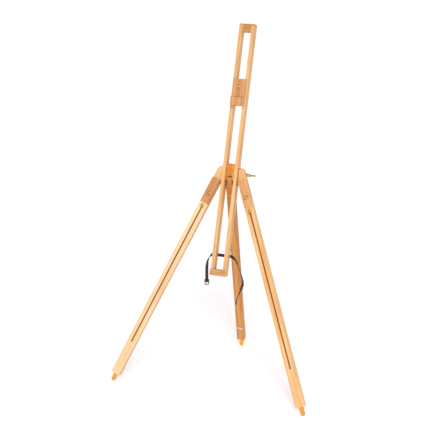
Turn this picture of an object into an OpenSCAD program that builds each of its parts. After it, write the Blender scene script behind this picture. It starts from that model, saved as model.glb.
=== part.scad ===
// Wooden field easel: a slotted mast held between two splayed telescopic legs,
// with a third telescopic leg hinged behind the head.
// Right is +X, the back of the easel is +Y and up is +Z. The floor is Z = 0.
// The mast and the two front legs lie in one plane that leans back. Most pieces are
// drawn in that plane's own frame: x to the right, y towards the back with 0 on the
// front face of the legs, z up along the mast with 0 at the leg pivots.

/* [Stance] */
// Lean of the mast and the front legs from upright, in degrees
lean = 20.5; // [12:0.5:24]
// Splay of each front leg from the mast, in degrees
splay = 22; // [14:0.5:26]
// Front leg, from its pivot to the centre of its foot's round end
front_leg_len = 971; // [780:1:1180]
// Slope of the rear leg from upright, in degrees
rear_rake = 11.7; // [6:0.1:16]

/* [Mast] */
// Length of the mast without its cap
mast_len = 1034; // [900:1:1250]
// Height of the mast's lower end below the leg pivots
mast_drop = 402; // [330:1:470]
// Width across both rails
mast_w = 66; // [60:1:80]
// Width of one rail
rail_w = 14; // [10:0.5:18]
// Depth of the rails
rail_d = 36; // [30:1:40]
// How far the rails stand in front of the legs
mast_proud = 4; // [2:0.5:10]
// Thickness of the cap on the mast's upper end
cap_t = 6; // [4:0.5:12]
// Height of the block between the rails at the top
top_block_h = 25; // [20:1:60]
// Height of the block across the lower end
foot_block_h = 26; // [20:1:50]
// How far the lower block stands in front of the rails
foot_block_proud = 6; // [3:0.5:20]

/* [Canvas holder] */
// Height of the holder's lower edge above the leg pivots
holder_z = 298; // [120:1:440]
// Width of the holder's front plate
holder_w = 54; // [46:1:66]
// Height of the holder's front plate
holder_h = 112; // [86:1:140]
// Thickness of the front plate
holder_t = 10; // [8:0.5:16]
// Height of the lip that reaches over the canvas
lip_h = 36; // [16:1:40]
// Reach of the lip in front of the rails
lip_reach = 24; // [18:1:45]

/* [Legs] */
// Width of a leg
leg_w = 38; // [34:1:46]
// Depth of a leg from its board to the open back
leg_d = 27; // [24:0.5:34]
// Thickness of the slotted board
board_t = 9; // [7:0.5:12]
// Thickness of a front leg's two side strips
strip_t = 9; // [7:0.5:9.5]
// Clearance on each side of the rear leg, which passes between the mast's rails
rear_gap = 2.5; // [2:0.25:3]
// Thickness of the rear leg's two side strips
rear_strip_t = 7; // [6:0.5:7]
// Length of the hardwood block below the pivot
block_h = 112; // [90:1:140]
// Width of the long slot
slot_w = 6.6; // [6.4:0.1:9]
// Length of the board below its long slot
board_tail = 154; // [90:1:240]
// Radius of the front legs' turned feet
foot_r = 9; // [7:0.5:9]
// Length of the foot that shows below the side strips
foot_show = 29; // [20:1:50]

/* [Head] */
// Distance of each front leg's pivot from the centre
pivot_x = 53; // [53:0.5:70]
// Height of the mast's tilt bolt above the leg pivots
tilt_z = 51; // [50:0.5:70]
// Depth of the tilt bolt behind the front of the legs
tilt_y = 15; // [12:0.5:18]
// Height of the rear leg's hinge pin above the front legs' pivots
hinge_z = 0; // [-4:0.5:3]
// Height of the head's long bolt above the leg pivots
head_bolt_z = 23; // [22:0.5:24]
// Thickness of the head's blocks behind the mast
web_t = 16; // [14:0.5:20]

/* [Hardware] */
// Radius of the clamp bolts
bolt_r = 3; // [2.5:0.1:3.1]
// Radius of the tilt bolt, the head's long bolt and the leg pivot pins
pin_r = 3.5; // [3:0.1:4]
// Radial clearance of the bolts and pins in their holes
bore_gap = 0.05; // [0.02:0.01:0.1]
// Span of the wing nuts on the legs and the holder
wing_span = 28; // [22:1:34]
// Span of the wing nut on the head's long bolt, which turns behind the legs
big_wing_span = 26; // [22:1:27]

/* [Hidden] */
$fn = 48;

// Clearances
slide_gap = 0.3;                       // between pieces that slide or swing past each other
nut_gap = 0.2;                         // under a washer that slides along its board
eps = 1;                               // overrun of a cut past a face

// Mast, in the plane's frame
mast_y = -mast_proud;
mast_back = mast_y + rail_d;
mast_bottom = -mast_drop;
mast_top = mast_bottom + mast_len;
slot_half = mast_w / 2 - rail_w;
guide_half = slot_half - 0.5;          // pieces that run between the rails
edge = 1.5;                            // chamfer on the mast's blocks
lap_chamfer = 6;                       // cut corners on the lower block's front

// Head
web_y = mast_back + 1;                 // front of the head's blocks behind the mast
web_back = web_y + web_t;
plate_y = leg_d + slide_gap;           // front of the blocks behind the leg arms
block_half = pivot_x + 7;              // outer end of the blocks about the pivots
bolt_half = pivot_x - 3;               // outer end of the blocks about the long bolt
spacer_end = block_half + 1;           // the wing nut turns clear of the blocks
block_step = 12;                       // height where one gives way to the other
plate_low = -24;
plate_high = 34;
tongue_r = 11;                         // half height of the tongue's nose
tongue_front = -3;
tongue_face = 1;                       // front of the tongue below its nose
fork_r = 7.9;                          // round ends of the tongue's fork about the hinge pin
fork_room = 2;                         // above the rear arm's eye
bolt_head_r = 6;
bolt_head_h = 4;

// Legs, in each leg's own frame: u across, y from the board's face, v up from the pivot
channel_half = leg_w / 2 - strip_t;
axis_y = board_t + (leg_d - board_t) / 2;
eye_r = (leg_d - board_t) / 2;         // round eye of the rear arm
rear_w = 2 * (slot_half - rear_gap);
rear_channel = rear_w / 2 - rear_strip_t;
rear_foot_r = rear_channel - 0.5;      // the rear foot stands in its leg's channel
bar_t = leg_d - board_t - 2 * slide_gap;
block_top = -6;
rear_block_top = -16;                  // clear of the fork's round ends
block_low = block_top - block_h;
strip_top = -28;
arm_top = 52;
arm_corner_r = 20;
ear_gap = 1;                           // between a leg's ear and the mast's rail
ear_relief = 1.5;                      // round the head and the nut of the tilt bolt
slot_top = block_low - 6;
clamp_v = slot_top - bolt_r - 6;       // the clamp bolt, with the leg drawn in
bar_top = slot_top + 2;
bar_inset = 5;                         // bar's end above the end of the strips
arm_bolt_v = block_top - 69;
tenon_r = 5;
tenon_len = 24;
foot_flat = 0.6;                       // wear on the round end, level with the floor
keeper_rise = 68;                      // keeper plate above the lower end of the strips
keeper_h = 10;
keeper_t = 1.4;
keeper_screw_r = 2.6;

// Hardware
washer_t = 1.5;
washer_r = 8;
hub_h = 7;
thread_out = 4;
big_washer_t = 2;
big_hub_h = 11;
head_thread = 27;

// Holder
holder_bolt_z = holder_z + holder_h - 36;
guide_h = holder_h - 32;
back_plate_h = 62;
back_plate_t = 9;

// Placing the leaning plane on the floor, centred front to back
foot_z = foot_r - foot_flat;
rear_foot_z = rear_foot_r - foot_flat;
base_z = foot_z + axis_y * sin(lean) + front_leg_len * cos(splay) * cos(lean);
front_reach = (front_leg_len - foot_show) * cos(splay) + leg_w / 2 * sin(splay);
base_y = (front_reach * sin(lean) - mast_back * cos(lean) - (mast_top + cap_t) * sin(lean)) / 2;

// The rear leg's hinge puts its open side level with the front of the other legs when it
// hangs along the mast, and the leg reaches the floor at its own slope
hinge_y = leg_d - axis_y;
hinge_height = base_z - hinge_y * sin(lean) + hinge_z * cos(lean);
rear_leg_len = (hinge_height - rear_foot_z) / cos(rear_rake);
rear_swing = lean + rear_rake;
fork_top = hinge_z + eye_r + fork_room;
fork_back = hinge_y + eye_r + 2 * fork_room;

// Strap: webbing across the back of the mast, in the leaning plane's frame.
// Each row of a route is a point of the webbing's middle line, then the way its width lies.
strap_w = 13;
strap_t = 2;
strap_edge = 0.5;
strap_y = mast_back + strap_t / 2;
strap_z = -318;
strap_half = 31;                       // half the length of the stretch fixed on the mast
strap_screw_r = 4;
strap_screw_x = mast_w / 2 - rail_w / 2;
short_route = [
    [[-strap_half, strap_y, strap_z], [0, 0, 10]], [[-37, strap_y, strap_z], [0, 0, 10]],
    [[-43, 34, -319], [-1, 2, 10]], [[-49, 35, -322], [-2, 5, 8]],
    [[-54, 36, -327], [-2, 7, 6]], [[-59, 37, -334], [0, 9, 4]],
    [[-62, 38, -342], [2, 9, 3]], [[-65, 40, -352], [4, 8, 3]],
    [[-66, 43, -363], [6, 8, 3]], [[-67, 46, -373], [7, 6, 2]],
    [[-67, 49, -384], [8, 5, 2]], [[-67, 53, -395], [9, 4, 1]],
    [[-67, 57, -405], [9, 4, 1]], [[-67, 60, -415], [9, 4, 1]],
    [[-67, 64, -426], [9, 4, 1]]
];
long_route = [
    [[strap_half, strap_y, strap_z], [0, 0, 10]], [[37, strap_y, strap_z], [0, 0, 10]],
    [[42, 35, -320], [-1, 3, 10]], [[47, 38, -323], [-1, 5, 8]],
    [[52, 43, -328], [-1, 8, 6]], [[57, 49, -337], [-1, 9, 5]],
    [[62, 55, -347], [-2, 9, 4]], [[66, 61, -358], [-4, 8, 3]],
    [[70, 68, -370], [-5, 8, 3]], [[74, 75, -384], [-6, 7, 3]],
    [[77, 82, -397], [-7, 6, 2]], [[80, 90, -410], [-8, 6, 2]],
    [[81, 96, -421], [-9, 5, 2]], [[80, 102, -433], [-9, 5, 0]],
    [[76, 108, -446], [-8, 5, -3]], [[71, 114, -458], [-6, 7, -3]],
    [[65, 120, -470], [-5, 8, -2]], [[59, 126, -482], [-4, 8, -1]],
    [[54, 132, -496], [-4, 8, 0]], [[51, 138, -508], [-5, 8, 0]],
    [[48, 144, -520], [-6, 7, 0]]
];
buckle_w = 20;
buckle_h = 27;
buckle_t = 3;
buckle_bar = 3;
buckle_turn = 22;                      // the buckle's turn about the upright as it hangs

WOOD = [0.93, 0.76, 0.56];
HARDWOOD = [0.80, 0.57, 0.36];
OILED = [0.88, 0.56, 0.22];
BRASS = [0.80, 0.66, 0.34];
STEEL = [0.72, 0.72, 0.70];
WEBBING = [0.17, 0.11, 0.08];

// ---- Placing ----

module in_plane() {
    translate([0, base_y, base_z]) rotate([-lean, 0, 0]) children();
}

// side is 1 for the right leg, -1 for the left one
module on_front_leg(side) {
    in_plane() mirror([side < 0 ? 1 : 0, 0, 0])
        translate([pivot_x, 0, 0]) rotate([0, -splay, 0]) children();
}

module on_rear_leg() {
    in_plane() translate([0, hinge_y, hinge_z]) rotate([rear_swing, 0, 0])
        mirror([0, 1, 0]) translate([0, -axis_y, 0]) children();
}

// ---- Shared shapes ----

// A block from its low corner to its high corner
module box(low, high) {
    translate(low) cube(high - low);
}

// A bar along y with the long edges across x and z cut at 45 degrees
module eased_box(low, high, ease) {
    size = high - low;
    outline = [
        [ease, 0], [size.x - ease, 0], [size.x, ease], [size.x, size.z - ease],
        [size.x - ease, size.z], [ease, size.z], [0, size.z - ease], [0, ease]
    ];
    translate([low.x, high.y, low.z]) rotate([90, 0, 0]) linear_extrude(size.y) polygon(outline);
}

// A cylinder along y, from one depth to another
module rod_y(x, z, r, from, to) {
    translate([x, to, z]) rotate([90, 0, 0]) cylinder(r = r, h = to - from);
}

// A cylinder along x, from one place to another
module rod_x(y, z, r, from, to) {
    translate([from, y, z]) rotate([0, 90, 0]) cylinder(r = r, h = to - from);
}

// A wing nut standing on z = 0, its wings along x
module wing_nut(r, hub_r, h, span) {
    wing_t = hub_r * 0.42;
    tip = span / 2;
    difference() {
        union() {
            cylinder(r1 = hub_r, r2 = hub_r * 0.78, h = h);
            for (way = [0, 1]) mirror([way, 0, 0]) translate([0, wing_t / 2, 0]) rotate([90, 0, 0])
                linear_extrude(wing_t) difference() {
                    union() {
                        polygon([
                            [r + 1, 0.8], [hub_r, 0.8], [tip - hub_r * 0.35, h * 0.62],
                            [tip - hub_r * 0.72, h * 1.5], [hub_r * 0.7, h * 0.92], [r + 1, h * 0.7]
                        ]);
                        translate([tip - hub_r * 0.6, h * 1.06]) circle(r = hub_r * 0.6);
                    }
                    translate([tip - hub_r * 0.6, h * 3]) circle(r = h * 1.2);
                }
        }
        translate([0, 0, -eps]) cylinder(r = r, h = h + 2 * eps);
    }
}

// A bolt along z: its head below z = 0, its shank above
module bolt(r, len, head_r, head_h) {
    rotate_extrude() polygon([
        [0, -head_h], [head_r * 0.55, -head_h], [head_r * 0.88, -head_h * 0.62], [head_r, 0],
        [r, 0], [r, len - 0.6], [r - 0.6, len], [0, len]
    ]);
}

module washer(r, out_r, t) {
    difference() {
        cylinder(r = out_r, h = t);
        translate([0, 0, -eps]) cylinder(r = r, h = t + 2 * eps);
    }
}

// ---- Head ----

// The middle of the head: its nose fills the mast's slot and holds the tilt bolt, and the
// fork below takes the top of the rear leg
module head_tongue() {
    fork_gap = rear_channel + slide_gap + 0.1;
    nose_low = tilt_z - tongue_r;
    nose_high = tilt_z + tongue_r;
    color(HARDWOOD) in_plane() difference() {
        union() {
            rotate([90, 0, 90]) translate([0, 0, -guide_half]) linear_extrude(2 * guide_half) polygon([
                [tongue_face, hinge_z], [tongue_face, nose_low - 2], [tongue_front, nose_low + 2],
                [tongue_front, nose_high - 3], [tongue_front + 3, nose_high],
                [web_back - 5, nose_high], [web_back, nose_high - 5], [web_back, hinge_z]
            ]);
            rod_x(hinge_y, hinge_z, fork_r, -guide_half, guide_half);
        }
        box([-fork_gap, tongue_face - fork_r, -fork_r - eps], [fork_gap, fork_back, fork_top]);
        rod_x(tilt_y, tilt_z, pin_r, -mast_w, mast_w);
        rod_x((web_y + web_back) / 2, head_bolt_z, pin_r + bore_gap, -mast_w, mast_w);
        rod_x(hinge_y, hinge_z, bolt_r, -mast_w, mast_w);
    }
}

// A block on each side of the tongue, behind the mast and the leg's arm
module head_block(side) {
    bevel = 3;
    color(WOOD) in_plane() mirror([side < 0 ? 1 : 0, 0, 0]) difference() {
        translate([0, web_back, 0]) rotate([90, 0, 0]) linear_extrude(web_back - plate_y) polygon([
            [guide_half, plate_low], [block_half - bevel, plate_low],
            [block_half, plate_low + bevel], [block_half, block_step - bevel],
            [block_half - bevel, block_step], [bolt_half, block_step],
            [bolt_half, plate_high - bevel], [bolt_half - bevel, plate_high],
            [guide_half, plate_high]
        ]);
        box([0, plate_y - eps, plate_low - eps], [mast_w / 2 + 1.5, web_y, plate_high + eps]);
        rod_y(pivot_x, 0, pin_r, plate_y - eps, web_back + eps);
        rod_x((web_y + web_back) / 2, head_bolt_z, pin_r + bore_gap, 0, block_half + eps);
    }
}

module leg_pivot_pins() {
    color(STEEL) in_plane() for (side = [-1, 1])
        rod_y(side * pivot_x, 0, pin_r, board_t + 4.5, web_back);
}

module tilt_bolt() {
    reach = mast_w / 2;
    color(BRASS) in_plane() translate([-reach, tilt_y, tilt_z]) rotate([0, 90, 0])
        bolt(pin_r, 2 * reach + 5, bolt_head_r, bolt_head_h);
}

module tilt_nut() {
    color(BRASS) in_plane() translate([mast_w / 2, tilt_y, tilt_z]) rotate([0, 90, 0])
        difference() {
            cylinder(r1 = bolt_head_r, r2 = bolt_head_r - 1, h = bolt_head_h);
            translate([0, 0, -eps]) cylinder(r = pin_r, h = bolt_head_h + 2 * eps);
        }
}

module rear_hinge_pin() {
    color(STEEL) in_plane() rod_x(hinge_y, hinge_z, bolt_r, -guide_half, guide_half);
}

// The long bolt, with a washer under its head and a spacer under its wing nut
module head_bolt() {
    length = bolt_half + big_washer_t + spacer_end + big_hub_h + head_thread;
    color(BRASS) in_plane() translate([0, (web_y + web_back) / 2, head_bolt_z]) {
        translate([-bolt_half - big_washer_t, 0, 0]) rotate([0, 90, 0]) {
            bolt(pin_r, length, bolt_head_r, bolt_head_h);
            washer(pin_r + bore_gap, washer_r, big_washer_t);
        }
        translate([bolt_half, 0, 0]) rotate([0, 90, 0])
            washer(pin_r + bore_gap, washer_r, spacer_end - bolt_half);
    }
}

module head_wing_nut() {
    color(BRASS) in_plane() translate([spacer_end + 0.1, (web_y + web_back) / 2, head_bolt_z])
        rotate([30, 0, 0]) rotate([0, 90, 0])
            wing_nut(pin_r + bore_gap, bolt_head_r + 1, big_hub_h, big_wing_span);
}

// ---- Mast ----

module mast_rail(side) {
    color(WOOD) in_plane() mirror([side < 0 ? 1 : 0, 0, 0]) difference() {
        box([slot_half, mast_y, mast_bottom], [mast_w / 2, mast_back, mast_top]);
        rod_x(tilt_y, tilt_z, pin_r + bore_gap, slot_half - eps, mast_w / 2 + eps);
    }
}

module mast_top_block() {
    color(HARDWOOD) in_plane()
        box([-slot_half, mast_y + 1, mast_top - top_block_h], [slot_half, mast_back - 1, mast_top]);
}

module mast_cap() {
    color(HARDWOOD) in_plane() translate([0, mast_y, mast_top]) linear_extrude(cap_t) polygon([
        [-mast_w / 2, edge], [edge - mast_w / 2, 0], [mast_w / 2 - edge, 0], [mast_w / 2, edge],
        [mast_w / 2, rail_d], [-mast_w / 2, rail_d]
    ]);
}

// A block between the rails with a wider front that laps over both of them
module mast_foot_block() {
    half = mast_w / 2;
    color(HARDWOOD) in_plane() translate([0, 0, mast_bottom]) {
        box([-slot_half, mast_y, 0], [slot_half, mast_back, foot_block_h]);
        translate([0, mast_y, 0]) rotate([90, 0, 0]) linear_extrude(foot_block_proud) polygon([
            [-half, 0], [half, 0], [half, foot_block_h - lap_chamfer],
            [half - lap_chamfer, foot_block_h], [-half, foot_block_h]
        ]);
    }
}

// ---- Canvas holder ----

module holder_plate() {
    half = holder_w / 2;
    front = mast_y - holder_t;
    color(HARDWOOD) in_plane() difference() {
        rotate([90, 0, 90]) translate([0, 0, -half]) linear_extrude(holder_w) polygon([
            [mast_y - slide_gap, holder_z], [mast_y - slide_gap, holder_z + holder_h],
            [front + edge, holder_z + holder_h], [front, holder_z + holder_h - edge],
            [front, holder_z + lip_h + 4], [mast_y - lip_reach, holder_z + lip_h - 2],
            [mast_y - lip_reach, holder_z]
        ]);
        rod_y(0, holder_bolt_z, bolt_r + bore_gap, front - eps, mast_y + eps);
    }
}

module holder_guide() {
    color(HARDWOOD) in_plane() difference() {
        box([-guide_half, mast_y - slide_gap, holder_bolt_z - guide_h / 2],
            [guide_half, mast_back + slide_gap, holder_bolt_z + guide_h / 2 - 14]);
        rod_y(0, holder_bolt_z, bolt_r + bore_gap, mast_y - eps, mast_back + eps);
    }
}

module holder_back_plate() {
    half = holder_w / 2;
    color(HARDWOOD) in_plane() difference() {
        eased_box([-half, mast_back + slide_gap, holder_bolt_z - back_plate_h / 2],
            [half, mast_back + slide_gap + back_plate_t, holder_bolt_z + back_plate_h / 2], 4);
        rod_y(0, holder_bolt_z, bolt_r + bore_gap, mast_back, mast_back + back_plate_t + 2 * eps);
    }
}

module holder_bolt() {
    head_y = mast_back + slide_gap + back_plate_t;
    nut_y = mast_y - holder_t - washer_t;
    color(BRASS) in_plane() {
        translate([0, head_y, holder_bolt_z]) rotate([90, 0, 0])
            bolt(bolt_r, head_y - nut_y + hub_h + thread_out, washer_r - 1, bolt_head_h - 1);
        translate([0, nut_y + washer_t, holder_bolt_z]) rotate([90, 0, 0])
            washer(bolt_r + bore_gap, washer_r, washer_t);
    }
}

module holder_wing_nut() {
    color(BRASS) in_plane()
        translate([0, mast_y - holder_t - washer_t - 0.1, holder_bolt_z]) rotate([90, 0, 0])
            rotate([0, 0, 90]) wing_nut(bolt_r + bore_gap, washer_r - 2.5, hub_h, wing_span);
}

// ---- Legs, in a leg's own frame ----

// Outline of a front leg's arm: as wide as the leg about the pivot, cut upright beside the
// mast and rounded outside above it, and as wide as the channel below
module front_arm_outline() {
    half = leg_w / 2;
    difference() {
        union() {
            translate([-channel_half, block_low])
                square([2 * channel_half, strip_top - block_low + eps]);
            translate([-half, strip_top]) square([leg_w, arm_top - arm_corner_r - strip_top]);
            translate([-half, strip_top]) square([leg_w - arm_corner_r, arm_top - strip_top]);
            translate([half - arm_corner_r, arm_top - arm_corner_r]) circle(r = arm_corner_r);
        }
        rotate(-splay) translate([mast_w / 2 + ear_gap - pivot_x - leg_w, -leg_w])
            square([leg_w, 4 * leg_w]);
    }
}

module front_arm() {
    difference() {
        translate([0, leg_d, 0]) rotate([90, 0, 0]) linear_extrude(leg_d - board_t)
            front_arm_outline();
        rotate([0, splay, 0]) translate([-pivot_x, 0, 0])
            rod_x(tilt_y, tilt_z, bolt_head_r + ear_relief, 0, mast_w / 2 + bolt_head_h + ear_relief);
        rod_y(0, 0, pin_r + bore_gap, board_t + 4, leg_d + eps);
        rod_y(0, arm_bolt_v, bolt_r + bore_gap, board_t - eps, leg_d + eps);
    }
}

// The rear arm is as wide as its channel and has a round eye about the hinge pin
module rear_arm() {
    difference() {
        union() {
            rod_x(axis_y, 0, eye_r, -rear_channel, rear_channel);
            box([-rear_channel, board_t, block_low], [rear_channel, leg_d, 0]);
        }
        rod_x(axis_y, 0, bolt_r + bore_gap, -rear_w, rear_w);
        rod_y(0, arm_bolt_v, bolt_r + bore_gap, board_t - eps, leg_d + eps);
    }
}

module leg_block(half, top) {
    difference() {
        box([-half, 0, block_low], [half, board_t, top]);
        rod_y(0, arm_bolt_v, bolt_r + bore_gap, -eps, board_t + eps);
    }
}

module leg_board(half, low) {
    slot_r = slot_w / 2;
    upper = slot_top - slot_r;
    lower = low + board_tail + slot_r;
    difference() {
        box([-half, 0, low], [half, board_t, block_low]);
        for (v = [lower, upper]) rod_y(0, v, slot_r, -eps, board_t + eps);
        box([-slot_r, -eps, lower], [slot_r, board_t + eps, upper]);
    }
}

module leg_strips(half, channel, low) {
    for (way = [0, 1]) mirror([way, 0, 0])
        box([channel, board_t, low], [half, leg_d, strip_top]);
}

// A bolt from the open back of the leg, with its washer on the front
module leg_bolt(v, back, gap) {
    translate([0, back, v]) rotate([90, 0, 0])
        bolt(bolt_r, back + gap + washer_t + hub_h + thread_out, bolt_head_r, bolt_head_h - 1);
    translate([0, -gap, v]) rotate([90, 0, 0]) washer(bolt_r + bore_gap, washer_r, washer_t);
}

module leg_wing_nut(v, gap, turn) {
    translate([0, -gap - washer_t - 0.1, v]) rotate([90, 0, 0]) rotate([0, 0, turn])
        wing_nut(bolt_r + bore_gap, washer_r - 2.5, hub_h, wing_span);
}

// A brass plate across the open back that keeps the bar in its channel, with its two screws
module leg_keeper(half, channel, low) {
    v = low + keeper_rise;
    screw_x = (half + channel) / 2;
    difference() {
        box([2 - half, leg_d, v - keeper_h / 2], [half - 2, leg_d + keeper_t, v + keeper_h / 2]);
        for (way = [-1, 1]) rod_y(way * screw_x, v, keeper_screw_r, leg_d - eps, leg_d + 2 * eps);
    }
    for (way = [-1, 1])
        rod_y(way * screw_x, v, keeper_screw_r, leg_d, leg_d + keeper_t + 0.8);
}

module extension_bar(channel, low) {
    half = channel - slide_gap;
    difference() {
        box([-half, board_t + slide_gap, low], [half, leg_d - slide_gap, bar_top]);
        rod_y(0, clamp_v, bolt_r + bore_gap, board_t, leg_d + eps);
        translate([0, axis_y, low - eps]) cylinder(r = tenon_r + bore_gap, h = tenon_len + eps + 1);
    }
}

// A turned peg with a tenon in the bar and a round end
module foot(low, len, r) {
    translate([0, axis_y, low]) cylinder(r = tenon_r, h = tenon_len);
    translate([0, axis_y, -len]) {
        cylinder(r = r, h = len + low);
        sphere(r = r);
    }
}

module above_floor() {
    room = 3 * front_leg_len;
    intersection() {
        children();
        translate([-room / 2, -room / 2, 0]) cube(room);
    }
}

// One piece of a leg, drawn in the leg's own frame
module leg_piece(name, len, rear = false) {
    low = foot_show - len;
    bar_low = low + bar_inset;
    half = (rear ? rear_w : leg_w) / 2;
    channel = rear ? rear_channel : channel_half;
    if (name == "arm") color(WOOD) {
        if (rear) rear_arm();
        else front_arm();
    }
    if (name == "block") color(HARDWOOD) leg_block(half, rear ? rear_block_top : block_top);
    if (name == "board") color(WOOD) leg_board(half, low);
    if (name == "strips") color(WOOD) leg_strips(half, channel, low);
    if (name == "arm_bolt") color(BRASS) leg_bolt(arm_bolt_v, leg_d, 0);
    if (name == "arm_nut") color(BRASS) leg_wing_nut(arm_bolt_v, 0, 30);
    if (name == "keeper") color(BRASS) leg_keeper(half, channel, low);
    if (name == "bar") color(WOOD) extension_bar(channel, bar_low);
    if (name == "clamp_bolt") color(BRASS) leg_bolt(clamp_v, leg_d - slide_gap, nut_gap);
    if (name == "clamp_nut") color(BRASS) leg_wing_nut(clamp_v, nut_gap, 75);
    if (name == "foot") color(OILED) foot(bar_low, len, rear ? rear_foot_r : foot_r);
}

module front_leg(side, name) {
    if (name == "foot") above_floor() on_front_leg(side) leg_piece(name, front_leg_len);
    else on_front_leg(side) leg_piece(name, front_leg_len);
}

module rear_leg(name) {
    if (name == "foot") above_floor() on_rear_leg() leg_piece(name, rear_leg_len, true);
    else on_rear_leg() leg_piece(name, rear_leg_len, true);
}

// ---- Strap ----

function unit(v) = v / norm(v);

// The webbing's direction at point i of a route
function heading(route, i) =
    unit(route[min(i + 1, len(route) - 1)][0] - route[max(i - 1, 0)][0]);

// The eight corners of the webbing's section, as [along the width, along the thickness]
function strap_section() = let(w = strap_w / 2, t = strap_t / 2, e = strap_edge)
    [[-w, e - t], [e - w, -t], [w - e, -t], [w, e - t], [w, t - e], [w - e, t], [e - w, t], [-w, t - e]];

function strap_ring(route, i) =
    let(
        ahead = i < 2 ? unit(route[1][0] - route[0][0]) : heading(route, i),
        wide = route[i][1],
        across = unit(wide - (wide * ahead) * ahead),
        thick = cross(ahead, across)
    )
    [for (corner = strap_section()) route[i][0] + corner.x * across + corner.y * thick];

module webbing(route) {
    count = len(route);
    sides = 8;
    points = [for (i = [0:count - 1]) each strap_ring(route, i)];
    skin = [
        for (i = [0:count - 2], k = [0:sides - 1]) let(
            a = i * sides + k,
            b = i * sides + (k + 1) % sides
        ) each [[a, b, a + sides], [b, b + sides, a + sides]]
    ];
    first = [for (k = [sides - 1:-1:0]) k];
    last = [for (k = [0:sides - 1]) (count - 1) * sides + k];
    color(WEBBING) in_plane() polyhedron(points, concat([first, last], skin));
}

// The stretch across the backs of both rails
module strap_band() {
    w = strap_w / 2;
    color(WEBBING) in_plane() difference() {
        box([-strap_half, mast_back, strap_z - w], [strap_half, mast_back + strap_t, strap_z + w]);
        for (side = [-1, 1])
            rod_y(side * strap_screw_x, strap_z, 1.6, mast_back - eps, mast_back + strap_t + eps);
    }
}

module strap_screws() {
    color(STEEL) in_plane() for (side = [-1, 1])
        translate([side * strap_screw_x, mast_back + strap_t, strap_z]) rotate([90, 0, 0])
            bolt(1.6, strap_t, strap_screw_r, 1.8);
}

// A flat frame with a middle bar that hangs plumb from the end of the webbing
module strap_buckle() {
    end = short_route[len(short_route) - 1][0];
    pane = (buckle_h - 3 * buckle_bar) / 2;
    color(STEEL) in_plane() translate(end) rotate([lean, 0, 0]) rotate([0, 0, buckle_turn])
        difference() {
            box([-buckle_w / 2, -buckle_t / 2, -buckle_h], [buckle_w / 2, buckle_t / 2, 0]);
            for (z = [-buckle_bar - pane, -2 * buckle_bar - 2 * pane])
                box([buckle_bar - buckle_w / 2, -buckle_t, z],
                    [buckle_w / 2 - buckle_bar, buckle_t, z + pane]);
        }
}

head_tongue();
head_block(-1);  // head_block_left
head_block(1);  // head_block_right
leg_pivot_pins();
tilt_bolt();
tilt_nut();
rear_hinge_pin();
head_bolt();
head_wing_nut();
mast_rail(-1);  // mast_rail_left
mast_rail(1);  // mast_rail_right
mast_top_block();
mast_cap();
mast_foot_block();
holder_plate();
holder_guide();
holder_back_plate();
holder_bolt();
holder_wing_nut();
front_leg(-1, "arm");  // leg_arm_left
front_leg(-1, "block");  // leg_block_left
front_leg(-1, "board");  // leg_board_left
front_leg(-1, "strips");  // leg_strips_left
front_leg(-1, "arm_bolt");  // arm_bolt_left
front_leg(-1, "arm_nut");  // arm_wing_nut_left
front_leg(-1, "keeper");  // leg_keeper_left
front_leg(-1, "bar");  // extension_bar_left
front_leg(-1, "foot");  // foot_left
front_leg(-1, "clamp_bolt");  // clamp_bolt_left
front_leg(-1, "clamp_nut");  // clamp_wing_nut_left
front_leg(1, "arm");  // leg_arm_right
front_leg(1, "block");  // leg_block_right
front_leg(1, "board");  // leg_board_right
front_leg(1, "strips");  // leg_strips_right
front_leg(1, "arm_bolt");  // arm_bolt_right
front_leg(1, "arm_nut");  // arm_wing_nut_right
front_leg(1, "keeper");  // leg_keeper_right
front_leg(1, "bar");  // extension_bar_right
front_leg(1, "foot");  // foot_right
front_leg(1, "clamp_bolt");  // clamp_bolt_right
front_leg(1, "clamp_nut");  // clamp_wing_nut_right
rear_leg("arm");  // leg_arm_rear
rear_leg("block");  // leg_block_rear
rear_leg("board");  // leg_board_rear
rear_leg("strips");  // leg_strips_rear
rear_leg("arm_bolt");  // arm_bolt_rear
rear_leg("arm_nut");  // arm_wing_nut_rear
rear_leg("keeper");  // leg_keeper_rear
rear_leg("bar");  // extension_bar_rear
rear_leg("foot");  // foot_rear
rear_leg("clamp_bolt");  // clamp_bolt_rear
rear_leg("clamp_nut");  // clamp_wing_nut_rear
strap_band();
strap_screws();
webbing(short_route);  // strap_buckle_end
webbing(long_route);  // strap_long_end
strap_buckle();
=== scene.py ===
from math import cos, pi, radians, sin

import bmesh
import bpy
from mathutils import Euler, Matrix, Vector


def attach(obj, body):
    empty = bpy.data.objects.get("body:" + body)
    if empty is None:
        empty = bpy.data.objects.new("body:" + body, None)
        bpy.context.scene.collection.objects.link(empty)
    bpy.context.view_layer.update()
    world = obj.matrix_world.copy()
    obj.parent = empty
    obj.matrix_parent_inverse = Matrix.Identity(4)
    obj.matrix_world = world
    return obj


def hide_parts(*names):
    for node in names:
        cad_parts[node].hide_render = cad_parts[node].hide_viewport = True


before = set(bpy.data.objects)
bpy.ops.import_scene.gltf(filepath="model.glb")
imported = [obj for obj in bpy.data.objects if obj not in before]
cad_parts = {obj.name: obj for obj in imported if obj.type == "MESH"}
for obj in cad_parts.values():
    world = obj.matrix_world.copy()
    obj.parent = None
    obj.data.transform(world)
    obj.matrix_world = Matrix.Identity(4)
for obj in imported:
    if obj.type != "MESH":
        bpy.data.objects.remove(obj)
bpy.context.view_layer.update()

# ---- Standpoint ----
# The easel is seen from in front and a little to its right, from above, through a long lens
# that keeps its legs from spreading.
camera = bpy.data.objects.new("camera", bpy.data.cameras.new("camera"))
bpy.context.scene.collection.objects.link(camera)
camera.location = (1.144, -3.31022, 1.95859)
LOOK_DOWN, LOOK_LEFT = radians(19.9), radians(19.6)
camera.rotation_euler = (pi / 2 - LOOK_DOWN, 0, LOOK_LEFT)
camera.data.sensor_width = 36
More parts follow.
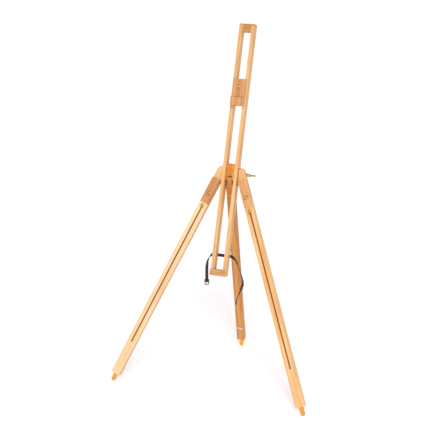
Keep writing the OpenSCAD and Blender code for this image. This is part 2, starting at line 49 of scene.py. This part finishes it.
camera.data.lens = 73.9726
bpy.context.scene.camera = camera
bpy.context.scene.view_settings.view_transform = "Standard"

# ---- Carry strap ----
# Brown polypropylene webbing, 13 mm wide and 2 mm thick, woven with ribs across it. It is
# screwed to the backs of both mast rails; one end carries the buckle, the other hangs free.
MM = 0.001
LEAN = radians(20.5)
PIVOT_LINE = Vector((0, 0.0274802, 0.8579855))
leaning = Matrix.Translation(PIVOT_LINE) @ Matrix.Rotation(-LEAN, 4, "X")
strap_wide, strap_thick = 13 * MM, 2 * MM
short_route = [
    [(-31, 33, -318), (0, 0, 10)], [(-37, 33, -318), (0, 0, 10)], [(-43, 34, -319), (-1, 2, 10)],
    [(-49, 35, -322), (-2, 5, 8)], [(-54, 36, -327), (-2, 7, 6)], [(-59, 37, -334), (0, 9, 4)],
    [(-62, 38, -342), (2, 9, 3)], [(-65, 40, -352), (4, 8, 3)], [(-66, 43, -363), (6, 8, 3)],
    [(-67, 46, -373), (7, 6, 2)], [(-67, 49, -384), (8, 5, 2)], [(-67, 53, -395), (9, 4, 1)],
    [(-67, 57, -405), (9, 4, 1)], [(-67, 60, -415), (9, 4, 1)], [(-67, 64, -426), (9, 4, 1)],
]
long_route = [
    [(31, 33, -318), (0, 0, 10)], [(37, 33, -318), (0, 0, 10)], [(42, 35, -320), (-1, 3, 10)],
    [(47, 38, -323), (-1, 5, 8)], [(52, 43, -328), (-1, 8, 6)], [(57, 49, -337), (-1, 9, 5)],
    [(62, 55, -347), (-2, 9, 4)], [(66, 61, -358), (-4, 8, 3)], [(70, 68, -370), (-5, 8, 3)],
    [(74, 75, -384), (-6, 7, 3)], [(77, 82, -397), (-7, 6, 2)], [(80, 90, -410), (-8, 6, 2)],
    [(81, 96, -421), (-9, 5, 2)], [(80, 102, -433), (-9, 5, 0)], [(76, 108, -446), (-8, 5, -3)],
    [(71, 114, -458), (-6, 7, -3)], [(65, 120, -470), (-5, 8, -2)], [(59, 126, -482), (-4, 8, -1)],
    [(54, 132, -496), (-4, 8, 0)], [(51, 138, -508), (-5, 8, 0)], [(48, 144, -520), (-6, 7, 0)],
]
band_route = [[(x, 33, -318), (0, 0, 10)] for x in (-31, -20, -10, 0, 10, 20, 31)]


def linear(code):
    """A linear colour from an sRGB hex value."""
    parts = [int(code[i : i + 2], 16) / 255 for i in (1, 3, 5)]
    return [c / 12.92 if c <= 0.04045 else ((c + 0.055) / 1.055) ** 2.4 for c in parts] + [1]


def add(tree, kind, settings=None, stops=(), **inputs):
    """Adds a node, sets its properties, fills or links its inputs by name, or by _number, and
    sets the (position, hex colour) stops of a ramp."""
    node = tree.nodes.new("ShaderNode" + kind)
    for key, value in (settings or {}).items():
        setattr(node, key, value)
    for i, (position, code) in enumerate(stops):
        line = node.color_ramp.elements
        stop = line[i] if i < len(line) else line.new(position)
        stop.position, stop.color = position, linear(code)
    for key, value in inputs.items():
        plug = node.inputs[int(key[1:])] if key[0] == "_" else node.inputs[key.replace("_", " ")]
        if isinstance(value, bpy.types.NodeSocket):
            tree.links.new(value, plug)
        else:
            plug.default_value = value
    return node


def new_finish(name):
    """A new material's node tree and its Principled shader."""
    made = bpy.data.materials.new(name)
    made.use_nodes = True
    tree = made.node_tree
    return made, tree, tree.nodes["Principled BSDF"]


# Woven polypropylene: dull brown and unevenly faded, with a little sheen on its ribs. The ribs
# stand 1.3 mm apart and the warp yarns 1.6 mm.
RIB_GAP, YARN_GAP = 1.3 * MM, 1.6 * MM
webbing, tree, skin = new_finish("woven_polypropylene_brown")
place = add(tree, "Attribute", {"attribute_name": "cloth"}).outputs["Vector"]
axes = add(tree, "SeparateXYZ", Vector=place)
rib = add(tree, "Math", {"operation": "MULTIPLY"}, _0=axes.outputs["Y"], _1=2 * pi / RIB_GAP)
rib = add(tree, "Math", {"operation": "SINE"}, _0=rib.outputs[0])
yarn = add(tree, "Math", {"operation": "MULTIPLY"}, _0=axes.outputs["X"], _1=2 * pi / YARN_GAP)
yarn = add(tree, "Math", {"operation": "SINE"}, _0=yarn.outputs[0])
weave = add(tree, "Math", {"operation": "MULTIPLY"}, _0=rib.outputs[0], _1=yarn.outputs[0])
dust = add(tree, "TexNoise", Vector=place, Scale=1 / (9 * MM), Detail=4.0, Roughness=0.6)
lift = add(tree, "Math", {"operation": "MULTIPLY_ADD"}, _0=weave.outputs[0], _1=0.16, _2=0.08)
tone = add(tree, "Math", {"operation": "ADD"}, _0=dust.outputs["Fac"], _1=lift.outputs[0])
browns = [(0.3, "#1c110b"), (0.55, "#33200f"), (0.85, "#573620")]
colour = add(tree, "ValToRGB", stops=browns, Fac=tone.outputs[0])
tree.links.new(colour.outputs["Color"], skin.inputs["Base Color"])
bump = add(tree, "Bump", Height=weave.outputs[0], Strength=0.7, Distance=0.3 * MM)
tree.links.new(bump.outputs[0], skin.inputs["Normal"])
skin.inputs["Roughness"].default_value = 0.78
skin.inputs["Sheen Weight"].default_value = 0.08
skin.inputs["Sheen Roughness"].default_value = 0.4


def link(name, mesh, material):
    """A new object in the scene with one material and smooth faces."""
    piece = bpy.data.objects.new(name, mesh)
    bpy.context.scene.collection.objects.link(piece)
    mesh.materials.append(material)
    mesh.polygons.foreach_set("use_smooth", [True] * len(mesh.polygons))
    return piece


def smooth_line(rows, steps):
    """Points on a Catmull-Rom curve through the rows of a route."""
    found = []
    count = len(rows)
    for i in range(count - 1):
        near = [Vector(rows[min(max(i + k, 0), count - 1)]) for k in (-1, 0, 1, 2)]
        for s in range(steps):
            t = s / steps
            a = 2 * near[1] + t * (near[2] - near[0])
            b = 2 * near[0] - 5 * near[1] + 4 * near[2] - near[3]
            c = 3 * near[1] - near[0] - 3 * near[2] + near[3]
            found.append((a + t * t * b + t * t * t * c) / 2)
    return found + [Vector(rows[-1])]


def strip_of_webbing(name, route, wide, thick):
    """Webbing along a route in the leaning frame, with soft edges and a ribbed face."""
    steps = 6
    middle = smooth_line([leaning @ (Vector(p) * MM) for p, w in route], steps)
    width = smooth_line([leaning.to_3x3() @ Vector(w).normalized() for p, w in route], steps)
    outline = []
    for k in range(11):
        u = -1 + k / 5
        outline.append((u * wide / 2, thick / 2 * (1 - 0.45 * abs(u) ** 6)))
    outline += [(u, -v) for u, v in reversed(outline)]
    mesh = bpy.data.meshes.new(name)
    points, faces, cloth, run = [], [], [], 0
    for i, point in enumerate(middle):
        ahead = middle[min(i + 1, len(middle) - 1)] - middle[max(i - 1, 0)]
        ahead.normalize()
        across = (width[i] - width[i].dot(ahead) * ahead).normalized()
        out = ahead.cross(across)
        run += (point - middle[i - 1]).length if i else 0
        for u, v in outline:
            points.append(point + u * across + v * out)
            cloth.append((u, run, 0))
    ring = len(outline)
    for i in range(len(middle) - 1):
        for k in range(ring):
            a, b = i * ring + k, i * ring + (k + 1) % ring
            faces.append((a, b, b + ring, a + ring))
    faces += [tuple(range(ring - 1, -1, -1)), tuple(range(len(points) - ring, len(points)))]
    mesh.from_pydata(points, [], faces)
    held = mesh.attributes.new("cloth", "FLOAT_VECTOR", "POINT")
    held.data.foreach_set("vector", [c for row in cloth for c in row])
    return link(name, mesh, webbing)


band = strip_of_webbing("strap_band_webbing", band_route, strap_wide, strap_thick)
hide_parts("strap_band")
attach(band, "mast")

long_end = strip_of_webbing("strap_long_webbing", long_route, strap_wide, strap_thick)
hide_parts("strap_long_end")
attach(long_end, "mast")

short_end = strip_of_webbing("strap_short_webbing", short_route, strap_wide, strap_thick)
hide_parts("strap_buckle_end")
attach(short_end, "mast")

# The buckle is a flat cast frame with a bar across its middle and a bright pressed tongue on
# it. The webbing's end is folded round the bar.
BUCKLE_TURN = radians(22)
buckle_at = leaning @ (Vector(short_route[-1][0]) * MM)
hang = Matrix.Translation(buckle_at) @ Matrix.Rotation(BUCKLE_TURN, 4, "Z")

# Lacquered zinc: nearly black brown and glossy, worn to a greyer tone in small spots.
lacquer, tree, skin = new_finish("black_lacquered_zinc")
place = add(tree, "TexCoord").outputs["Object"]
rubbed = add(tree, "TexNoise", Vector=place, Scale=1 / (4 * MM), Detail=5.0)
blacks = [(0.4, "#15100d"), (0.62, "#2a211c"), (0.78, "#6b645c")]
colour = add(tree, "ValToRGB", stops=blacks, Fac=rubbed.outputs["Fac"])
tree.links.new(colour.outputs["Color"], skin.inputs["Base Color"])
skin.inputs["Metallic"].default_value = 0.3
skin.inputs["Roughness"].default_value = 0.36

# Nickel plate: bright and slightly warm, its gloss broken by fine wear.
nickel, tree, skin = new_finish("nickel_plated_steel")
place = add(tree, "TexCoord").outputs["Object"]
scratch = add(tree, "TexNoise", Vector=place, Scale=1 / (0.8 * MM), Detail=6.0, Roughness=0.7)
colour = add(tree, "ValToRGB", stops=[(0.3, "#b9b4aa"), (0.7, "#dedbd3")], Fac=scratch.outputs["Fac"])
tree.links.new(colour.outputs["Color"], skin.inputs["Base Color"])
rough = add(tree, "MapRange", Value=scratch.outputs["Fac"], _3=0.24, _4=0.46)
tree.links.new(rough.outputs[0], skin.inputs["Roughness"])
skin.inputs["Metallic"].default_value = 1


def tube(name, rows, wide, thick, closed, material):
    """A rounded bar of elliptical section along rows of points in the row frame."""
    mesh = bpy.data.meshes.new(name)
    points, faces = [], []
    count, ring = len(rows), 10
    flat = Vector((sin(BUCKLE_TURN), -cos(BUCKLE_TURN), 0))
    for i, point in enumerate(rows):
        if closed:
            ahead = rows[(i + 1) % count] - rows[i - 1]
        else:
            ahead = rows[min(i + 1, count - 1)] - rows[max(i - 1, 0)]
        side = ahead.normalized().cross(flat)
        for k in range(ring):
            turn = 2 * pi * k / ring
            points.append(point + side * cos(turn) * wide / 2 + flat * sin(turn) * thick / 2)
    for i in range(count if closed else count - 1):
        for k in range(ring):
            a, b = i * ring + k, i * ring + (k + 1) % ring
            c, d = (a + ring) % len(points), (b + ring) % len(points)
            faces.append((a, b, d, c))
    if not closed:
        faces += [tuple(range(ring - 1, -1, -1)), tuple(range(len(points) - ring, len(points)))]
    mesh.from_pydata(points, [], faces)
    return link(name, mesh, material)


half, tall, corner, drop = 8, 23.5, 3, 1.5
outline = []
for x, z, start in ((half, 0, 0), (-half, 0, 90), (-half, -tall, 180), (half, -tall, 270)):
    centre_x, centre_z = x - corner * (1 if x > 0 else -1), z + (corner if z < 0 else -corner)
    for step in range(5):
        turn = radians(start + 90 * step / 4)
        across, up = centre_x + corner * cos(turn), centre_z + corner * sin(turn) - drop
        outline.append(hang @ (Vector((across, 0, up)) * MM))
buckle = tube("strap_buckle_frame", outline, 3.8 * MM, 2.8 * MM, True, lacquer)
bar = [hang @ (Vector((x, 0, -13.5)) * MM) for x in (-8.4, -3, 3, 8.4)]
buckle_bar = tube("strap_buckle_bar", bar, 2.6 * MM, 2.6 * MM, False, lacquer)
prong = [hang @ (Vector((0, y, z)) * MM) for y, z in ((0, -11), (-1, -14), (-1.1, -19), (-1, -25.5))]
buckle_prong = tube("strap_buckle_prong", prong, 3 * MM, 1.2 * MM, False, nickel)
# The fold of webbing round the bar is two layers thick.
fold = [hang @ (Vector((0, 0, z)) * MM) for z in (0.5, -2, -5, -8, -11, -13.6)]
local = leaning.inverted()
fold_wide = local.to_3x3() @ (hang.to_3x3() @ Vector((1, 0, 0)))
fold_route = [[tuple((local @ p) / MM), tuple(fold_wide)] for p in fold]
buckle_fold = strip_of_webbing("strap_buckle_fold", fold_route, 13.6 * MM, 4.6 * MM)
for piece in (buckle, buckle_bar, buckle_prong, buckle_fold):
    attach(piece, "mast")
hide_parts("strap_buckle")

# ---- Mast ----
# Two planed beech rails, 14 by 36 mm, with a block glued between them at the top under a thin
# cap, and a lapped block at the foot. The rails' arrises are eased with a plane.
RAIL_TONES = ("#bd7f42", "#e2b074", "#f0d09c")
BLOCK_TONES = ("#a05e2c", "#c88a50", "#dfae78")


def worked_wood(name, tones, turn, at, rings=5.5, gloss=0.46):
    """Planed beech with its grain along z of a frame that stands at a point, in metres, with a
    turn. The growth rings are so many millimetres apart. The streaks of fibre are drawn 0.9 mm
    wide, coarser than in real beech, so that they show."""
    made, tree, skin = new_finish(name)
    place = add(tree, "TexCoord").outputs["Object"]

    def stretched(across, along):
        return add(tree, "Mapping", {"vector_type": "TEXTURE"}, Vector=place, Location=at,
                   Rotation=turn, Scale=(across * MM, across * MM, along * MM)).outputs[0]

    sway = add(tree, "TexNoise", Vector=stretched(30, 260), Scale=1.0, Detail=2.0)
    shade = add(tree, "TexNoise", Vector=stretched(11, 190), Scale=1.0, Detail=3.0, Roughness=0.5)
    fibre = add(tree, "TexNoise", Vector=stretched(0.9, 38), Scale=1.0, Detail=4.0, Roughness=0.65)
    fleck = add(tree, "TexNoise", Vector=stretched(0.7, 5), Scale=1.0, Detail=1.0)
    bands = add(tree, "TexWave", {"bands_direction": "X", "wave_profile": "SAW"},
                Vector=stretched(rings, 110), Scale=0.32, Distortion=5.0, Detail=2.0)
    bands.inputs["Detail Scale"].default_value = 0.6
    mixed = -0.1
    for pattern, share in ((bands, 0.2), (fibre, 0.35), (shade, 0.5), (sway, 0.35)):
        mixed = add(tree, "Math", {"operation": "MULTIPLY_ADD"}, _0=pattern.outputs["Fac"], _1=share,
                    _2=mixed).outputs[0]
    colour = add(tree, "ValToRGB", stops=list(zip((0.34, 0.56, 0.8), tones)), Fac=mixed)
    dots = add(tree, "MapRange", Value=fleck.outputs["Fac"], _1=0.66, _2=0.78, _3=0.0, _4=0.35)
    flecked = add(tree, "Mix", {"data_type": "RGBA"}, _0=dots.outputs[0],
                  _6=colour.outputs["Color"], _7=linear(tones[0]))
    tree.links.new(flecked.outputs[2], skin.inputs["Base Color"])
    rough = add(tree, "MapRange", Value=fibre.outputs["Fac"], _3=gloss - 0.08, _4=gloss + 0.14)
    tree.links.new(rough.outputs[0], skin.inputs["Roughness"])
    bump = add(tree, "Bump", Height=fibre.outputs["Fac"], Strength=0.35, Distance=0.25 * MM)
    tree.links.new(bump.outputs[0], skin.inputs["Normal"])
    return made


def dress(node, material, arris):
    """Gives a CAD node its material and rounds its arrises to a radius in millimetres."""
    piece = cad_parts[node]
    piece.data.materials.clear()
    piece.data.materials.append(material)
    weld = piece.modifiers.new("weld", "WELD")
    weld.merge_threshold = 0.002 * MM
    flat = piece.modifiers.new("flat", "DECIMATE")
    flat.decimate_type = "DISSOLVE"
    flat.angle_limit = radians(1)
    ease = piece.modifiers.new("arris", "BEVEL")
    ease.width = arris * MM
    ease.segments = 3
    ease.limit_method = "ANGLE"
    ease.angle_limit = radians(35)
    ease.use_clamp_overlap = False
    shading = piece.modifiers.new("normals", "WEIGHTED_NORMAL")
    shading.weight = 100


mast_turn = (-LEAN, 0, 0)
for side, shift in (("left", 0.31), ("right", 0.74)):
    at = PIVOT_LINE + Vector((shift, shift, shift))
    rail_wood = worked_wood("planed_beech_rail_" + side, RAIL_TONES, mast_turn, at)
    dress("mast_rail_" + side, rail_wood, 1.0)
cross_turn = (-LEAN, pi / 2, 0)
# The blocks and cap are given darker tones than the rails.
cross_wood = worked_wood("darker_beech_crosswise", BLOCK_TONES, cross_turn, PIVOT_LINE, 4)
dress("mast_top_block", cross_wood, 0.6)
dress("mast_cap", cross_wood, 0.8)
dress("mast_foot_block", cross_wood, 1.0)

# ---- Canvas holder ----
# A beech plate with a lip for the canvas's edge, a guide glued behind it that runs between the
# rails, and a bevelled plate at the back. A brass bolt and its wing nut squeeze all of them.
HOLDER_TONES = ("#9c5f30", "#c58a52", "#dbab78")
holder_at = PIVOT_LINE + Vector((0.2, 0, 0))
holder_wood = worked_wood("oiled_beech_holder", HOLDER_TONES, mast_turn, holder_at, 5)
for node in ("holder_plate", "holder_guide", "holder_back_plate"):
    dress(node, holder_wood, 1.0)

# Cast and turned brass: warm yellow, tarnished brown in patches and bright between them.
brass, tree, skin = new_finish("cast_brass")
place = add(tree, "TexCoord").outputs["Object"]
tarnish = add(tree, "TexNoise", Vector=place, Scale=1 / (6 * MM), Detail=5.0, Roughness=0.6)
grit = add(tree, "TexNoise", Vector=place, Scale=1 / (0.6 * MM), Detail=3.0)
yellows = [(0.32, "#b98f4c"), (0.5, "#dcb96f"), (0.68, "#f3dda4")]
colour = add(tree, "ValToRGB", stops=yellows, Fac=tarnish.outputs["Fac"])
tree.links.new(colour.outputs["Color"], skin.inputs["Base Color"])
rough = add(tree, "MapRange", Value=tarnish.outputs["Fac"], _3=0.42, _4=0.22)
tree.links.new(rough.outputs[0], skin.inputs["Roughness"])
bump = add(tree, "Bump", Height=grit.outputs["Fac"], Strength=0.2, Distance=0.08 * MM)
tree.links.new(bump.outputs[0], skin.inputs["Normal"])
skin.inputs["Metallic"].default_value = 1


HUB_PROFILE = [(0.52, 0), (0.94, 0), (1, 0.08), (0.97, 0.4), (0.86, 0.74), (0.8, 0.94), (0.72, 1),
               (0.52, 1)]


def wing_nut(name, node, body, foot, out, wings, size):
    """A cast wing nut in place of a CAD one. Its hub stands at foot along out, its wings lie
    along wings; size is its hub's radius, height and the wings' span, in millimetres. The
    profiles of hub and wings are shares of these."""
    hub, tall, span = (n * MM for n in size)
    around, wing_around = 24, 12
    side = out.cross(wings)
    mesh = bmesh.new()
    rings = []
    for r, z in HUB_PROFILE:
        row = []
        for k in range(around):
            turn = 2 * pi * k / around
            spoke = wings * cos(turn) + side * sin(turn)
            row.append(mesh.verts.new(foot + spoke * r * hub + out * z * tall))
        rings.append(row)
    for low, high in zip(rings, rings[1:] + rings[:1]):
        for k in range(around):
            mesh.faces.new((low[k], low[(k + 1) % around], high[(k + 1) % around], high[k]))
    reach = span / 2
    spine = [
        (hub * 0.6, 0.44, 0.36, 0.34), (hub * 0.95, 0.46, 0.34, 0.26),
        (reach * 0.62, 0.74, 0.33, 0.2), (reach * 0.78, 1.0, 0.42, 0.2),
        (reach * 0.92, 1.22, 0.4, 0.18), (reach * 0.985, 1.34, 0.24, 0.12),
    ]
    for way in (1, -1):
        rows = []
        for x, mid, high, thick in spine:
            row = []
            for k in range(wing_around):
                turn = 2 * pi * k / wing_around
                lift = out * (mid + high * 0.9 * sin(turn)) * tall
                row.append(mesh.verts.new(foot + wings * way * x + lift + side * cos(turn) * thick * hub))
            rows.append(row)
        for low, high in zip(rows, rows[1:]):
            for k in range(wing_around):
                after = (k + 1) % wing_around
                mesh.faces.new((low[k], low[after], high[after], high[k]))
        mesh.faces.new(rows[0])
        mesh.faces.new(rows[-1])
    bmesh.ops.recalc_face_normals(mesh, faces=mesh.faces)
    data = bpy.data.meshes.new(name)
    mesh.to_mesh(data)
    piece = link(name, data, brass)
    soft = piece.modifiers.new("cast", "SUBSURF")
    soft.levels = soft.render_levels = 1
    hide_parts(node)
    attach(piece, body)


dress("holder_bolt", brass, 0.25)
tilt = leaning.to_3x3()
HOLDER_NUT_AT, SMALL_NUT = Vector((0, -15.6, 374)) * MM, (5.5, 7, 28)
wing_nut("holder_wing_nut_cast", "holder_wing_nut", "holder_nut", leaning @ HOLDER_NUT_AT,
         tilt @ Vector((0, -1, 0)), tilt @ Vector((0, 0, 1)), SMALL_NUT)

# ---- Head ----
# A beech tongue between the rails carries the tilt bolt and the rear leg's pin; a block on each
# side of it, behind the front legs, carries a steel pivot pin. A long brass bolt ties the three.
# The tongue's dark, strongly orange tones are painted shade, with warm bounced light, where it sits deep
# between the rails.
TONGUE_SHADE_TONES = ("#8c4510", "#cf7c26", "#e8a656")
tongue_at = PIVOT_LINE + Vector((0.4, 0, 0.1))
tongue_shaded_wood = worked_wood("shade_darkened_beech_tongue", TONGUE_SHADE_TONES, mast_turn, tongue_at, 5)
dress("head_tongue", tongue_shaded_wood, 0.8)
head_at = PIVOT_LINE + Vector((0, 0.3, 0))
head_wood = worked_wood("planed_beech_head", RAIL_TONES, cross_turn, head_at)
dress("head_block_left", head_wood, 1.0)
dress("head_block_right", head_wood, 1.0)
for node in ("tilt_bolt", "tilt_nut", "head_bolt"):
    dress(node, brass, 0.3)
HEAD_NUT_AT, HEAD_NUT, HEAD_NUT_SPIN = Vector((61.1, 41, 23)) * MM, (7, 11, 26), radians(60)
head_wings = tilt @ Vector((0, sin(HEAD_NUT_SPIN), -cos(HEAD_NUT_SPIN)))
wing_nut("head_wing_nut_cast", "head_wing_nut", "head_nut", leaning @ HEAD_NUT_AT,
         tilt @ Vector((1, 0, 0)), head_wings, HEAD_NUT)
for node in ("leg_pivot_pins", "rear_hinge_pin", "strap_screws"):
    dress(node, nickel, 0.2)

# ---- Legs ----
# Each leg is a channel of beech, a slotted board with two side strips, under a stained block; the
# rear leg's darker tones are painted shade. A bar, darkened with painted shade where it shows in
# the slot, slides in it, held by a brass clamp bolt, and ends in a turned, varnished peg.
SPLAY, REAR_RAKE = radians(22), radians(11.7)
PIVOT_ACROSS, REAR_FORWARD = 53 * MM, 18 * MM
REAR_HINGE = Vector((0, 0.035886, 0.854831))
WASHER, NUT_GAP = 1.5, 0.1
# A leg's two wing nuts: height from its pivot, the washer's gap in millimetres, and their turn.
LEG_NUTS = (("arm", -75, 0, radians(30)), ("clamp", -133, 0.2, radians(75)))
# The rear leg's darker, more orange tones in these tables are painted shade, as it stands behind the
# mast.
BOARD_TONES = {
    "left": ("#c9955c", "#e8c596", "#f3dcb6"),
    "right": ("#c2843f", "#e3b071", "#f2d19c"),
    "rear": ("#96551f", "#c68642", "#dcaa68"),
}
STRIP_TONES = {"left": RAIL_TONES, "right": RAIL_TONES, "rear": ("#8f4c17", "#c47a34", "#dba05a")}
STAIN_AND_SHADE_TONES = {
    "left": ("#945527", "#c18248", "#d8a26a"),
    "right": ("#ad6a35", "#d99c63", "#ecbc8a"),
    "rear": ("#7d3a08", "#c06a1c", "#dc8f3c"),
}
# The bars show only down the boards' slots, so their dark, strongly orange tones are painted shade with
# warm light bounced in the slot.
BAR_SHADE_TONES = {
    "left": ("#6a3410", "#9f5a22", "#c07a3a"),
    "right": ("#64300e", "#97521d", "#b97234"),
    "rear": ("#8f531c", "#c88a44", "#dda863"),
}
leg_turns = {
    "left": (Matrix.Rotation(-LEAN, 3, "X") @ Matrix.Rotation(SPLAY, 3, "Y")).to_euler(),
    "right": (Matrix.Rotation(-LEAN, 3, "X") @ Matrix.Rotation(-SPLAY, 3, "Y")).to_euler(),
    "rear": Euler((REAR_RAKE, 0, 0)),
}
# The pegs' varnish is amber and glossy. The two points give boards and strips their own grain.
PEG_TONES = ("#a85f14", "#dd9428", "#f0b450")
at = PIVOT_LINE + Vector((0.05, 0.9, 0.3))
strip_at = at + Vector((0.4, 0.1, 0))
for side, turn in leg_turns.items():
    pale = worked_wood("planed_beech_board_" + side, BOARD_TONES[side], turn, at, 6)
    strip = worked_wood("planed_beech_strip_" + side, STRIP_TONES[side], turn, strip_at, 6)
    # The blocks' tones are stain on the front legs and painted shade on the rear leg.
    block_stain_and_shade = worked_wood("stained_and_shaded_beech_block_" + side, STAIN_AND_SHADE_TONES[side], turn, at, 4.5)
    bar_shaded_wood = worked_wood("shade_darkened_beech_bar_" + side, BAR_SHADE_TONES[side], turn, at, 5)
    peg_wood = worked_wood("varnished_peg_" + side, PEG_TONES, turn, at, 3.5, 0.26)
    dress("leg_arm_" + side, strip, 1.0)
    dress("leg_block_" + side, block_stain_and_shade, 1.0)
    dress("leg_board_" + side, pale, 0.7)
    dress("leg_strips_" + side, strip, 0.7)
    dress("extension_bar_" + side, bar_shaded_wood, 0.7)
    dress("foot_" + side, peg_wood, 0.5)
    dress("leg_keeper_" + side, nickel, 0.2)
    for node in ("arm_bolt_", "clamp_bolt_"):
        dress(node + side, brass, 0.25)
    if side == "rear":
        in_leg = Matrix.Translation(REAR_HINGE) @ Matrix.Rotation(REAR_RAKE, 4, "X")
        in_leg = in_leg @ Matrix.Scale(-1, 4, (0, 1, 0)) @ Matrix.Translation((0, -REAR_FORWARD, 0))
    else:
        way = 1 if side == "right" else -1
        in_leg = leaning @ Matrix.Translation((PIVOT_ACROSS * way, 0, 0))
        in_leg = in_leg @ Matrix.Rotation(-SPLAY * way, 4, "Y") @ Matrix.Scale(way, 4, (1, 0, 0))
    rim = in_leg.to_3x3()
    for kind, height, gap, spin in LEG_NUTS:
        foot = in_leg @ (Vector((0, -gap - WASHER - NUT_GAP, height)) * MM)
        wings = rim @ Vector((cos(spin), 0, sin(spin)))
        wing_nut(kind + "_wing_nut_cast_" + side, kind + "_wing_nut_" + side, kind + "_nut_" + side,
                 foot, rim @ Vector((0, -1, 0)), wings, SMALL_NUT)

# ---- Floor and light ----
# A white painted studio floor that runs far past the easel and glows a little, a soft key light
# from high behind the standpoint, and white light from all round.
floor_mesh = bpy.data.meshes.new("floor")
FLOOR_REACH = 40
corners = [(x * FLOOR_REACH, y * FLOOR_REACH, 0) for x, y in ((-1, -1), (1, -1), (1, 1), (-1, 1))]
floor_mesh.from_pydata(corners, [], [(0, 1, 2, 3)])
paint, tree, skin = new_finish("white_studio_paint")
place = add(tree, "TexCoord").outputs["Object"]
cloud = add(tree, "TexNoise", Vector=place, Scale=0.6, Detail=2.0)
colour = add(tree, "ValToRGB", stops=[(0.3, "#f6f3f5"), (0.7, "#faf8fa")], Fac=cloud.outputs["Fac"])
tree.links.new(colour.outputs["Color"], skin.inputs["Base Color"])
skin.inputs["Roughness"].default_value = 0.7
skin.inputs["Emission Color"].default_value = linear("#fffafd")
skin.inputs["Emission Strength"].default_value = 0.3
floor = link("floor", floor_mesh, paint)

world = bpy.data.worlds.new("studio")
bpy.context.scene.world = world
world.use_nodes = True
sky = world.node_tree.nodes["Background"]
sky.inputs["Color"].default_value = linear("#ffffff")
seen = add(world.node_tree, "LightPath").outputs["Is Camera Ray"]
sky_light = add(world.node_tree, "MapRange", Value=seen, _3=0.55, _4=1.0)
world.node_tree.links.new(sky_light.outputs[0], sky.inputs["Strength"])

key = bpy.data.objects.new("key", bpy.data.lights.new("key", "SUN"))
bpy.context.scene.collection.objects.link(key)
key.data.energy = 1.75
key.data.angle = radians(28)
key.data.color = linear("#fff8f0")[:3]
key.rotation_euler = Vector((-0.3, 0.8, -0.72)).to_track_quat("-Z", "Y").to_euler()
